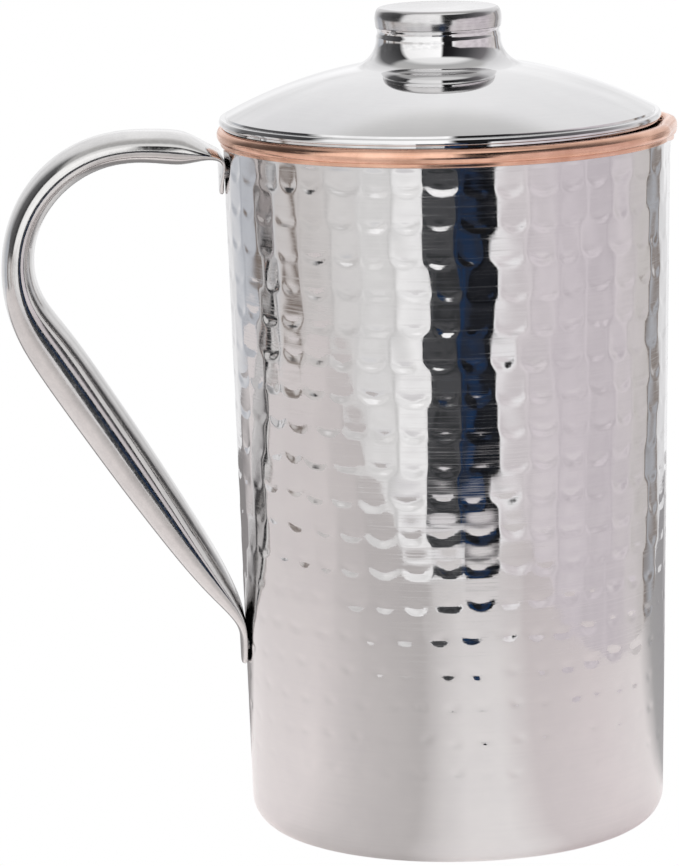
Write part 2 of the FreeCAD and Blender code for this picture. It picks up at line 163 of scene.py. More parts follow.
def make_piece(
    bm: bmesh.types.BMesh, name: str, body: str, finish: bpy.types.Material,
    nodes: tuple[str, ...], sharp: bool = True,
) -> bpy.types.Object:
    """Turn a bmesh into a dressed piece that rides on a body.

    Args:
        bm: The finished mesh. It is freed.
        name: The piece's name.
        body: The body that it rides on.
        finish: The material.
        nodes: CAD nodes that the piece stands for.
        sharp: Whether steep edges are kept sharp.

    Returns:
        The new object.
    """
    for face in bm.faces:
        face.smooth = True
    for edge in bm.edges:
        if sharp and len(edge.link_faces) == 2 and edge.calc_face_angle(0.0) > SHARP_ANGLE:
            edge.smooth = False
    mesh = bpy.data.meshes.new(name)
    bm.to_mesh(mesh)
    bm.free()
    mesh.materials.append(finish)
    piece = bpy.data.objects.new(name, mesh)
    bpy.context.scene.collection.objects.link(piece)
    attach(piece, body)
    if nodes:
        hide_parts(*nodes)
    log.info("%s: %d faces on %s", name, len(mesh.polygons), body)
    return piece


def dress_node(node: str, finish: bpy.types.Material) -> None:
    """Give a CAD node that stays in view its finish."""
    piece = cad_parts[node]
    piece.data.materials.clear()
    piece.data.materials.append(finish)
    log.info("%s: finish %s", node, finish.name)


# ---------------------------------------------------------------- finishes

class Grain(Enum):
    """Which way the fine marks of a finish run."""

    ROUND_THE_WALL = "level lines round an upright wall"
    RINGS = "rings about the axis"
    ALL_WAYS = "no direction"


class Board:
    """A node tree being laid out, with a short way to add and join nodes."""

    def __init__(self, tree: bpy.types.NodeTree) -> None:
        """Empty the tree and lay it out anew."""
        tree.nodes.clear()
        self.tree = tree

    def add(self, kind: str, inputs: dict | None = None, **settings: object) -> bpy.types.Node:
        """Add a node.

        Args:
            kind: The node's type name without its ShaderNode prefix.
            inputs: Socket name or number to a value, or to an output socket to join.
            settings: Properties of the node.

        Returns:
            The new node.
        """
        node = self.tree.nodes.new("ShaderNode" + kind)
        for key, value in settings.items():
            setattr(node, key, value)
        for key, value in (inputs or {}).items():
            if isinstance(value, bpy.types.NodeSocket):
                self.tree.links.new(value, node.inputs[key])
            else:
                node.inputs[key].default_value = value
        return node

    def sum(self, operation: str, *values: object) -> bpy.types.NodeSocket:
        """One Math node, with numbers or sockets as its inputs."""
        return self.add("Math", dict(enumerate(values)), operation=operation).outputs[0]

    def ramp(self, value: bpy.types.NodeSocket, stops: list[tuple[float, Colour]]) -> bpy.types.NodeSocket:
        """Colour Ramp through the given (place, colour) stops."""
        node = self.add("ValToRGB", {"Fac": value})
        elements = node.color_ramp.elements
        while len(elements) < len(stops):
            elements.new(1.0)
        for element, (place, colour) in zip(elements, stops):
            element.position = place
            element.color = (*colour, 1.0)
        return node.outputs["Color"]

    def round_ramp(
        self, value: bpy.types.NodeSocket, stops: list[tuple[float, Colour]]
    ) -> bpy.types.NodeSocket:
        """Colour Ramp whose places are bearings in degrees, to the right of the camera's."""
        return self.ramp(value, [(0.5 + angle / 360.0, colour) for angle, colour in stops])

    def rise(self, value: bpy.types.NodeSocket, start: object, end: object) -> bpy.types.NodeSocket:
        """Ease from 0 at start to 1 at end."""
        return self.add(
            "MapRange", {"Value": value, 1: start, 2: end}, interpolation_type="SMOOTHSTEP"
        ).outputs[0]

    def blend(
        self, factor: bpy.types.NodeSocket, low: bpy.types.NodeSocket, high: bpy.types.NodeSocket
    ) -> bpy.types.NodeSocket:
        """Mix two colours, all low at 0 and all high at 1."""
        node = self.add("Mix", {"Factor": factor}, data_type="RGBA")
        self.tree.links.new(low, node.inputs[6])
        self.tree.links.new(high, node.inputs[7])
        return node.outputs[2]

    def bearing(self, place: bpy.types.NodeSocket, facing: float) -> tuple[bpy.types.Node, ...]:
        """Split a direction about the upright axis.

        Args:
            place: A direction or a point.
            facing: Azimuth in degrees that the colour ramps are centred on.

        Returns:
            The Mapping node that turns it, the node with its X, Y and Z, and the node whose output
            runs from 0 to 1 round the compass.
        """
        turned = self.add("Mapping", {"Vector": place, "Rotation": (0.0, 0.0, math.radians(-facing))})
        parts = self.add("SeparateXYZ", {0: turned.outputs[0]})
        angle = self.sum("ARCTAN2", parts.outputs[1], parts.outputs[0])
        return turned, parts, self.add("MapRange", {"Value": angle, 1: -math.pi, 2: math.pi})


@dataclass(frozen=True)
class MetalFinish:
    """A bare metal surface with fine marks, slight stains and a broad unevenness.

    Roughness runs between the two values given, colour between colour and shade.
    """

    name: str
    colour: Colour
    shade: Colour
    smoothest: float
    roughest: float
    grain: Grain
    grain_pitch: float
    grain_depth: float
    ripple_pitch: float
    ripple_depth: float
    stain_scale: float = 60.0

    def grain_vector(self, board: Board, place: bpy.types.NodeSocket) -> bpy.types.NodeSocket:
        """Coordinates that change fast across the marks and slowly along them."""
        fine = 1.0 / self.grain_pitch
        slow = fine / GRAIN_LENGTH
        if self.grain is Grain.ROUND_THE_WALL:
            node = board.add("Mapping", {"Vector": place, "Scale": (slow, slow, fine)})
            return node.outputs[0]
        if self.grain is Grain.RINGS:
            parts = board.add("SeparateXYZ", {0: place})
            across = board.sum("MULTIPLY", parts.outputs[0], parts.outputs[0])
            along = board.sum("MULTIPLY", parts.outputs[1], parts.outputs[1])
            radius = board.sum("SQRT", board.sum("ADD", across, along))
            rings = board.sum("MULTIPLY", radius, fine)
            x = board.sum("MULTIPLY", parts.outputs[0], slow)
            y = board.sum("MULTIPLY", parts.outputs[1], slow)
            return board.add("CombineXYZ", {0: x, 1: y, 2: rings}).outputs[0]
        node = board.add("Mapping", {"Vector": place, "Scale": (fine, fine, fine)})
        return node.outputs[0]

    def make(self) -> bpy.types.Material:
        """Build the material."""
        material = bpy.data.materials.new(self.name)
        material.use_nodes = True
        board = Board(material.node_tree)
        place = board.add("TexCoord").outputs["Object"]
        grain = board.add(
            "TexNoise",
            {"Vector": self.grain_vector(board, place), "Scale": 1.0, "Detail": 3.0, "Roughness": 0.6},
        ).outputs[0]
        stain = board.add(
            "TexNoise", {"Vector": place, "Scale": self.stain_scale, "Detail": 4.0, "Roughness": 0.65}
        ).outputs[0]
        ripple = board.add(
            "TexNoise", {"Vector": place, "Scale": 1.0 / self.ripple_pitch, "Detail": 1.0}
        ).outputs[0]
        worn = board.sum("ADD", board.sum("MULTIPLY", grain, 0.35), board.sum("MULTIPLY", stain, 0.65))
        tint = board.ramp(worn, [(0.36, self.shade), (0.62, self.colour)])
        rough = board.add(
            "MapRange", {"Value": grain, 1: 0.42, 2: 0.70, 3: self.smoothest, 4: self.roughest}
        ).outputs[0]
        broad = board.add("Bump", {"Height": ripple, "Strength": 1.0, "Distance": self.ripple_depth})
        fine = board.add(
            "Bump",
            {"Height": grain, "Strength": 1.0, "Distance": self.grain_depth, "Normal": broad.outputs[0]},
        )
        shader = board.add(
            "BsdfPrincipled",
            {"Base Color": tint, "Metallic": 1.0, "Roughness": rough, "Normal": fine.outputs[0]},
        )
        board.add("OutputMaterial", {"Surface": shader.outputs[0]})
        return material


HAMMERED_STEEL = MetalFinish(
    "hammered_steel", (0.72, 0.71, 0.71), (0.68, 0.67, 0.675), 0.035, 0.17,
    Grain.ROUND_THE_WALL, 0.40 * MM, 0.0006 * MM, 14.0 * MM, 0.016 * MM,
)
HANDLE_STEEL = MetalFinish(
    "handle_steel", (0.72, 0.71, 0.70), (0.62, 0.61, 0.605), 0.08, 0.20,
    Grain.ALL_WAYS, 0.7 * MM, 0.0012 * MM, 12.0 * MM, 0.014 * MM, stain_scale=140.0,
)
LID_STEEL = MetalFinish(
    "lid_satin_steel", (0.76, 0.755, 0.755), (0.72, 0.715, 0.72), 0.02, 0.08,
    Grain.RINGS, 0.25 * MM, 0.0006 * MM, 22.0 * MM, 0.008 * MM,
)
# Painted shade: the knob's steel has a darker colour and shade than the rest of the steel, to stand in for
# its darker look.
KNOB_STEEL = MetalFinish(
    "knob_polished_steel", (0.69, 0.68, 0.68), (0.55, 0.54, 0.545), 0.13, 0.22,
    Grain.ROUND_THE_WALL, 0.30 * MM, 0.0008 * MM, 12.0 * MM, 0.006 * MM,
)
RIM_COPPER = MetalFinish(
    "rim_copper", (0.90, 0.56, 0.42), (0.66, 0.37, 0.26), 0.14, 0.34,
    Grain.ROUND_THE_WALL, 0.35 * MM, 0.0030 * MM, 6.0 * MM, 0.012 * MM, stain_scale=110.0,
)
WELD_STEEL = MetalFinish(
    "weld_steel", (0.56, 0.55, 0.55), (0.36, 0.35, 0.35), 0.28, 0.45,
    Grain.ALL_WAYS, 0.5 * MM, 0.004 * MM, 2.0 * MM, 0.02 * MM,
)


# ---------------------------------------------------------------- the beak

@dataclass(frozen=True)
class Beak:
    """The pouring beak pinched into the rim at +X: flattened sides that meet in a blunt point."""

    radius: float
    reach: float
    droop: float = 1.5 * MM
    half_angle: float = math.radians(22.0)
    point: float = 0.12
    blend: float = 0.22
    stand_out: float = 0.35 * MM
    fade_height: float = 20.0 * MM

    def push(self, azimuth: float) -> float:
        """How far the rim stands out (or in, where its sides are flattened) at an azimuth."""
        turned = abs(math.atan2(math.sin(azimuth), math.cos(azimuth)))
        if turned >= self.half_angle:
            return 0.0
        blunt = math.sqrt(turned * turned + (self.point * self.half_angle) ** 2)
        tip = self.radius + self.reach + self.stand_out
        side_x = self.radius * math.cos(self.half_angle)
        side_y = self.radius * math.sin(self.half_angle)
        # The straight side runs from the tip to where the pinch starts.
        flat = tip * side_y / (side_y * math.cos(blunt) + (tip - side_x) * math.sin(blunt))
        return (flat - self.radius) * fade(self.half_angle - turned, 0.0, self.blend * self.half_angle)

    def shape(self, co: Vector, skirt: float, rim: float) -> None:
        """Push a point of a wall or rim to the beak's outline and draw its copper down.

        Args:
            co: The point, changed in place.
            skirt: Height of the lower edge of the copper.
            rim: Height of the top of the roll.
        """
        azimuth = math.atan2(co.y, co.x)
        if abs(azimuth) >= self.half_angle or co.z < skirt - self.fade_height:
            return
        radius = math.hypot(co.x, co.y)
        push = self.push(azimuth) * fade(co.z, skirt - self.fade_height, skirt)
        pinch = 1.0 - smooth(abs(azimuth) / self.half_angle)
        lowered = fade(co.z, skirt - 2.0 * MM, skirt) * fade(rim - co.z, 0.0, rim - skirt)
        co.x *= (radius + push) / radius
        co.y *= (radius + push) / radius
        co.z -= self.droop * pinch * lowered


# ---------------------------------------------------------------- hammered steel cup

@dataclass(frozen=True)
class Blow:
    """What sets one hammer mark apart from the others."""

    strength: float
    drop: float
    tilt: float
    shift: float
    lean: float


@dataclass
class HammerMarks:
    """Rows of flat facets, each cut off below by a curved lip, that die away towards the base.

    Depths, heights and the pitch are lengths. Sway, stagger, flatness, edges and the dimple's
    width and height are shares of a cell.
    """

    top: float
    radius: float
    pitch: float = 8.35 * MM
    round_count: int = 42
    first: float = 0.83
    sway: float = 0.34
    stagger: float = 0.42
    flatness: float = 0.92
    ramp: float = 0.055 * MM
    lip: float = 0.060 * MM
    lip_height: float = 0.115
    edge: float = 0.93
    edge_curve: float = 0.26
    tilt_depth: float = 0.030 * MM
    wander: float = 1.0 * MM
    facets_end: float = 44.0 * MM
    facets_full: float = 86.0 * MM
    dimple: float = 0.17 * MM
    dimple_width: float = 0.36
    dimple_height: float = 0.10
    dimples_end: float = 10.0 * MM
    dimples_full: float = 27.0 * MM
    seed: int = 11
    blows: dict[tuple[int, int], Blow] = field(default_factory=dict)

    def blow(self, row: int, cell: int) -> Blow:
        """The mark at a place in the pattern, always the same one."""
        key = (row, cell)
        if key not in self.blows:
            draw = random.Random(self.seed + 1009 * row + cell)
            self.blows[key] = Blow(
                strength=draw.uniform(0.55, 1.30),
                drop=draw.uniform(-0.06, 0.06),
                tilt=draw.uniform(-1.0, 1.0),
                shift=draw.uniform(-0.25, 0.25),
                lean=draw.uniform(-1.0, 1.0),
            )
        return self.blows[key]

    def cell(self, around: Vector, azimuth: float, row: int) -> tuple[float, Blow]:
        """Place across a cell, from -1 to 1, and the cell's mark, in one row."""
        sway = self.sway * noise.noise(around * 3.1 + Vector((0.0, 0.0, row * 5.7)))
        phase = self.first + self.stagger * noise.noise(Vector((0.43 * row, 4.2, 0.0)))
        turned = azimuth / TAU * self.round_count + phase + sway
        cell = math.floor(turned)
        return 2.0 * (turned - cell) - 1.0, self.blow(row, cell % self.round_count)

    def face(self, across: float, down: float, blow: Blow) -> float:
        """Depth of one facet: flat or a little hollow across, and leaning in as it goes down."""
        half = math.pi * self.radius / self.round_count
        sag = 0.5 * half * half / self.radius * (self.flatness + 0.35 * (blow.strength - 1.0))
        middle = 1.0 - across * across
        lean = self.ramp * (0.8 + 0.5 * blow.lean) * down ** 1.5 * (0.35 + 0.65 * middle)
        twist = blow.tilt * self.tilt_depth * across * middle * 2.6
        return sag * middle * (0.52 + 0.48 * smooth(down * 1.7)) + lean + twist

    def at(self, azimuth: float, height: float) -> float:
        """How far the wall is driven in at a place."""
        around = Vector((math.cos(azimuth), math.sin(azimuth), 0.0))
        wandering = noise.noise(around * 2.6 + Vector((0.0, 0.0, height * 22.0))) * self.wander
        fallen = (self.top - height + wandering) / self.pitch
        row = math.floor(fallen)
        down = fallen - row
        across, blow = self.cell(around, azimuth, row)
        under, next_blow = self.cell(around, azimuth, row + 1)
        edge = self.edge + blow.drop - self.edge_curve * across * across
        below = smooth((down - edge) / self.lip_height)
        upper = self.face(across, min(down / edge, 1.0), blow)
        upper += self.lip * blow.strength * (1.0 - across * across) ** 0.7 * fade(down, edge - 0.30, edge)
        lower = self.face(under, 0.0, next_blow)
        facets = fade(height, self.facets_end, self.facets_full)
        spread = ((across - blow.shift) / self.dimple_width) ** 2
        spread += ((down - edge + 0.03) / self.dimple_height) ** 2
        dimples = fade(height, self.dimples_end, self.dimples_full) * (1.0 - 0.75 * facets)
        dimple = self.dimple * blow.strength * math.exp(-spread)
        return facets * (upper + (lower - upper) * below) + dimples * dimple


@dataclass
class HammeredCup:
    """The outer steel cup."""

    base_radius: float = 51.45 * MM
    rim_height: float = 175.4 * MM
    skirt_bottom: float = 171.0 * MM
    wall: float = 0.6 * MM
    corner: float = 6.8 * MM
    foot: float = 4.0 * MM
    recess: float = 1.2 * MM
    hammered_from: float = 16.0 * MM
    steps: int = 420
    rows: int = 200

    def __post_init__(self) -> None:
        """Read the sizes that the frame holds."""
        low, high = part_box("outer_shell")
        self.rim_radius = high.y
        self.lip = high.z
        self.floor = low.z
        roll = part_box("copper_liner")[1]
        self.beak = Beak(radius=roll.y, reach=roll.x - roll.y - 0.05 * MM)

    def radius(self, height: float) -> float:
        """Outside radius of the plain wall at a height, upright behind the copper skirt."""
        share = min(height / self.skirt_bottom, 1.0)
        return self.base_radius + (self.rim_radius - self.base_radius) * share

    def section(self) -> list[Point]:
        """Closed half section, densest where the wall is hammered."""
        start_z = self.hammered_from
        corner_z = self.floor + self.corner
        corner_r = self.radius(corner_z) - self.corner
        foot_in = corner_r - self.foot
        top = self.lip - 0.2 * MM
        points = divide((self.radius(top), top), (self.radius(self.skirt_bottom), self.skirt_bottom), 3)
        points += divide(
            (self.radius(self.skirt_bottom), self.skirt_bottom), (self.radius(start_z), start_z), self.rows
        )[1:]
        points += divide((self.radius(start_z), start_z), (self.radius(corner_z), corner_z), 4)[1:]
        points += arc((corner_r, corner_z), self.corner, 0.0, -90.0, 10)[1:]
        points += rounded([
            (foot_in, self.floor, 0.0),
            (foot_in - self.recess, self.floor + self.recess, 0.8 * MM),
            (0.0, self.floor + self.recess, 0.0),
        ])
        thick = self.floor + self.recess + self.wall
        points += [
            (0.0, thick),
            (foot_in, thick),
            (foot_in + self.wall, self.floor + self.wall),
            (corner_r, self.floor + self.wall),
        ]
        points += arc((corner_r, corner_z), self.corner - self.wall, -90.0, 0.0, 4)[1:]
        points.append((self.radius(top) - self.wall, top))
        return points

    def build(self) -> None:
        """Spin the cup, hammer its wall and pinch its beak."""
        bm = spin_section(self.section(), self.steps)
        marks = HammerMarks(top=self.skirt_bottom + 1.6 * MM, radius=self.radius(0.5 * self.rim_height))
        for vert in bm.verts:
            co = vert.co
            radius = math.hypot(co.x, co.y)
            outside = radius > self.radius(co.z) - 0.5 * self.wall
            if outside and marks.dimples_end < co.z < self.skirt_bottom:
                driven = marks.at(math.atan2(co.y, co.x), co.z)
                co.x *= (radius - driven) / radius
                co.y *= (radius - driven) / radius
            self.beak.shape(co, self.skirt_bottom, self.rim_height)
        make_piece(
            bm, "hammered_cup", JUG, HAMMERED_STEEL.make(), ("outer_shell",), False
        )


# ---------------------------------------------------------------- copper lining

@dataclass
class CopperLining:
    """The inner copper cup with its rolled rim and the skirt below the roll."""

    cup: HammeredCup
    wall: float = 0.5 * MM
    gap: float = 1.3 * MM
    bead: float = 1.9 * MM
    skirt: float = 0.55 * MM
    corner: float = 6.0 * MM
    steps: int = 288

    def section(self) -> list[Point]:
        """Closed half section: down the inside, across the floor and back up between the cups."""
        cup = self.cup
        inset = cup.wall + self.gap
        touch = cup.rim_radius + 0.02 * MM
        mouth = cup.rim_radius - inset - self.wall
        middle = (mouth + self.bead, cup.rim_height - self.bead)
        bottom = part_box("copper_liner")[0].z
        corner_z = bottom + self.corner
        corner_r = cup.radius(corner_z) - inset - self.corner
        skirt_out = cup.rim_radius + self.skirt
        meet = math.degrees(math.acos((skirt_out + 0.25 * MM - middle[0]) / self.bead))
        points = arc(middle, self.bead, 180.0, -meet, 26)
        crease_z = points[-1][1] - 0.12 * MM
        points += [
            (skirt_out + 0.02 * MM, crease_z),
            (skirt_out, crease_z - 0.15 * MM),
            (skirt_out + 0.05 * MM, cup.skirt_bottom + 0.45 * MM),
            (skirt_out - 0.03 * MM, cup.skirt_bottom + 0.10 * MM),
            (skirt_out - 0.22 * MM, cup.skirt_bottom),
            (touch, cup.skirt_bottom),
            (touch, middle[1] - 1.2 * MM),
        ]
        points += arc(middle, self.bead - self.wall, -50.0, 180.0, 14)
        straight_z = middle[1] - 3.0 * MM
        points += divide(
            (cup.radius(straight_z) - inset, straight_z), (cup.radius(corner_z) - inset, corner_z), 14
        )
        points += arc((corner_r, corner_z), self.corner, 0.0, -90.0, 6)[1:]
        points += [(0.0, bottom), (0.0, bottom + self.wall)]
        points += arc((corner_r, corner_z), self.corner - self.wall, -90.0, 0.0, 8)
        points += divide(
            (cup.radius(corner_z) - inset - self.wall, corner_z),
            (cup.radius(straight_z) - inset - self.wall, straight_z), 20,
        )[1:]
        return points

    def build(self) -> None:
        """Spin the lining and pinch its beak."""
        bm = spin_section(self.section(), self.steps)
        for vert in bm.verts:
            self.cup.beak.shape(vert.co, self.cup.skirt_bottom, self.cup.rim_height)
        make_piece(bm, "copper_lining", JUG, RIM_COPPER.make(), ("copper_liner",))


# ---------------------------------------------------------------- handle

# Thickness and width of the pipe in millimetres, after the share of the stretch or the heading.
TOP_RUN = (
    (0.10, 3.4, 20.6), (0.20, 5.2, 20.9), (0.32, 7.2, 20.7), (0.44, 8.3, 20.3),
    (0.60, 8.3, 20.2), (0.80, 8.0, 20.4), (1.0, 7.9, 20.5),
)
BEND = (
    (7.9, 20.5), (8.0, 20.6), (8.1, 20.6), (8.1, 20.6), (8.0, 20.7), (7.9, 20.7),
    (7.9, 20.8), (8.2, 20.8), (9.0, 20.4), (10.2, 19.9), (11.6, 19.4),
)
LOW_RUN = (
    (0.06, 12.4, 19.0), (0.14, 12.8, 18.9), (0.30, 12.5, 18.9), (0.46, 12.0, 19.0),
    (0.60, 11.1, 19.2), (0.72, 10.0, 19.5), (0.82, 8.6, 19.7), (0.90, 6.6, 19.6), (0.96, 4.4, 19.2),
)
LOW_TONGUE = (
    (0.0, 290.0, 2.6, 18.8), (0.15, 279.0, 1.9, 18.4), (0.30, 270.0, 1.4, 17.8),
    (0.50, 270.0, 1.35, 17.0), (0.70, 270.0, 1.35, 15.9), (0.85, 270.0, 1.35, 13.4),
    (0.95, 270.0, 1.3, 9.2), (0.99, 270.0, 1.1, 5.2), (1.0, 270.0, 0.6, 1.4),
)


@dataclass(frozen=True)
class Station:
    """One oval section of the pipe, with its heading in degrees and how far it hugs the wall."""

    x: float
    z: float
    heading: float
    thickness: float
    width: float
    hug: float


@dataclass
class Handle:
    """One bent pipe, pressed flat at both ends into tongues that lie on the wall."""

    cup: HammeredCup
    bend_radius: float = 29.0 * MM
    rise: float = 2.4 * MM
    slope: float = 57.1
    flat: float = 2.4 * MM
    tongue: float = 1.35 * MM
    top_length: float = 10.2 * MM
    corner: float = 2.2 * MM
    outer_half: float = 4.0 * MM
    top_half: float = 4.15 * MM
    spare: float = 0.12 * MM
    roundness: float = 0.86
    sides: int = 48

    def __post_init__(self) -> None:
        """Read where the frame puts the handle."""
        low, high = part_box("handle")
        self.reach = -low.x - self.spare
        self.bottom = low.z
        self.top = high.z

    def wall(self, height: float) -> float:
        """X of the middle of a tongue that lies on the wall."""
        return -(self.cup.radius(height) + 0.5 * self.tongue + 0.1 * MM)

    def upper_tongue(self, root_z: float) -> list[Station]:
        """From the tip of the upper tongue up the wall, and round the corner away from it."""
        made = []
        tip_z = root_z - self.top_length
        turn_z = root_z - self.corner
        for share in (0.0, 0.02, 0.08, 0.2, 0.4, 0.62, 0.82, 1.0):
            z = tip_z + share * (turn_z - tip_z)
            width = (1.2 + 17.4 * smooth(share * 0.9 + 0.1) * min(1.0, share * 8.0 + 0.25)) * MM
            thick = self.tongue * min(1.0, 0.5 + share * 6.0)
            made.append(Station(self.wall(z), z, 90.0, thick, width, 1.0))
        corner_x = self.wall(turn_z) - self.corner
        for angle in (22.0, 45.0, 66.0):
            turn = math.radians(angle)
            made.append(Station(
                corner_x + self.corner * math.cos(turn), turn_z + self.corner * math.sin(turn),
                90.0 + angle, self.tongue + (self.flat - self.tongue) * angle / 66.0, 19.6 * MM,
                1.0 - 0.3 * angle / 66.0,
            ))
        return made

    def top_run(self, start_x: float, bend_x: float, run_z: float) -> list[Station]:
        """Nearly level stretch in which the flat tongue opens into the pipe."""
        made = []
        run = start_x - bend_x
        for share, thick, width in TOP_RUN:
            drop = self.rise * (1.0 - share) ** 2
            climb = math.degrees(math.atan(2.0 * self.rise * (1.0 - share) / run))
            made.append(Station(
                start_x - share * run, run_z - drop, 180.0 - climb, thick * MM, width * MM,
                0.7 * max(0.0, 1.0 - share * 2.5),
            ))
        return made

    def bend(self, bend_x: float, run_z: float) -> list[Station]:
        """The bend over the outermost point, as far as the slanting run."""
        made = []
        bend_z = run_z - self.bend_radius
        sweep = 180.0 - self.slope
        for step, (thick, width) in enumerate(BEND, start=1):
            swept = sweep * step / len(BEND)
            angle = math.radians(90.0 + swept)
            made.append(Station(
                bend_x + self.bend_radius * math.cos(angle), bend_z + self.bend_radius * math.sin(angle),
                180.0 + swept, thick * MM, width * MM, 0.0,
            ))
        return made

    def low_run(self, last: Station) -> list[Station]:
        """The slanting run down to the wall, then the lower tongue down the wall to its tip."""
        made = []
        fall = math.tan(math.radians(self.slope))
        low_z = last.z
        while last.x + (last.z - low_z) / fall < self.wall(low_z) - 0.2 * MM:
            low_z -= 0.1 * MM
        low_x = self.wall(low_z)
        for share, thick, width in LOW_RUN:
            made.append(Station(
                last.x + share * (low_x - last.x), last.z + share * (low_z - last.z),
                360.0 - self.slope, thick * MM, width * MM, fade(share, 0.7, 1.0),
            ))
        start_z = low_z - 0.6 * MM
        for share, heading, thick, width in LOW_TONGUE:
            z = start_z + share * (self.bottom - start_z)
            stand = 0.45 * MM * (1.0 - smooth(share / 0.3))
            made.append(Station(self.wall(z) - stand, z, heading, thick * MM, width * MM, 1.0))
        return made

    def stations(self) -> list[Station]:
        """Sections from the tip of the upper tongue to the tip of the lower one."""
        bend_x = -self.reach + self.outer_half + self.bend_radius
        run_z = self.top - self.top_half
        made = self.upper_tongue(run_z - self.rise)
        made += self.top_run(made[-1].x, bend_x, run_z)
        made += self.bend(bend_x, run_z)
        made += self.low_run(made[-1])
        return made

    def place(self, station: Station, turn: float) -> Vector:
        """A point of an oval section, bent to the wall's curve by the station's hug."""
        heading = math.radians(station.heading)
        across = 0.5 * station.width * math.cos(turn)
        sine = math.sin(turn)
        lift = 0.5 * station.thickness * math.copysign(abs(sine) ** self.roundness, sine)
        back = station.hug * across * across / (2.0 * self.cup.radius(station.z))
        return Vector((
            station.x + lift * math.sin(heading) + back,
            across,
            station.z - lift * math.cos(heading),
        ))

    def build(self) -> None:
        """Extrude a ring of points from section to section and close both tips."""
        stations = self.stations()
        bm = bmesh.new()
        ring = bmesh.ops.create_circle(bm, cap_ends=True, segments=self.sides, radius=1.0)["verts"]
        turns = [math.atan2(vert.co.y, vert.co.x) for vert in ring]
        for vert, turn in zip(ring, turns):
            vert.co = self.place(stations[0], turn)
        edges = bm.edges[:]
        for station in stations[1:]:
            before = dict(zip(ring, turns))
            grown = bmesh.ops.extrude_edge_only(bm, edges=edges)
            edges = [item for item in grown["geom"] if isinstance(item, bmesh.types.BMEdge)]
            fresh = [item for item in grown["geom"] if isinstance(item, bmesh.types.BMVert)]
            partner = {}
            for vert in fresh:
                for edge in vert.link_edges:
                    other = edge.other_vert(vert)
                    if other in before:
                        partner[vert] = before[other]
            ring = fresh
            turns = [partner[vert] for vert in fresh]
            for vert, turn in zip(ring, turns):
                vert.co = self.place(station, turn)
        bmesh.ops.contextual_create(bm, geom=edges)
        bmesh.ops.recalc_face_normals(bm, faces=bm.faces[:])
        piece = make_piece(
            bm, "handle_pipe", JUG, HANDLE_STEEL.make(), ("handle",), False
        )
        levels = piece.modifiers.new("smooth_pipe", "SUBSURF")
        levels.levels = 2
        levels.render_levels = 2


# ---------------------------------------------------------------- lid and knob

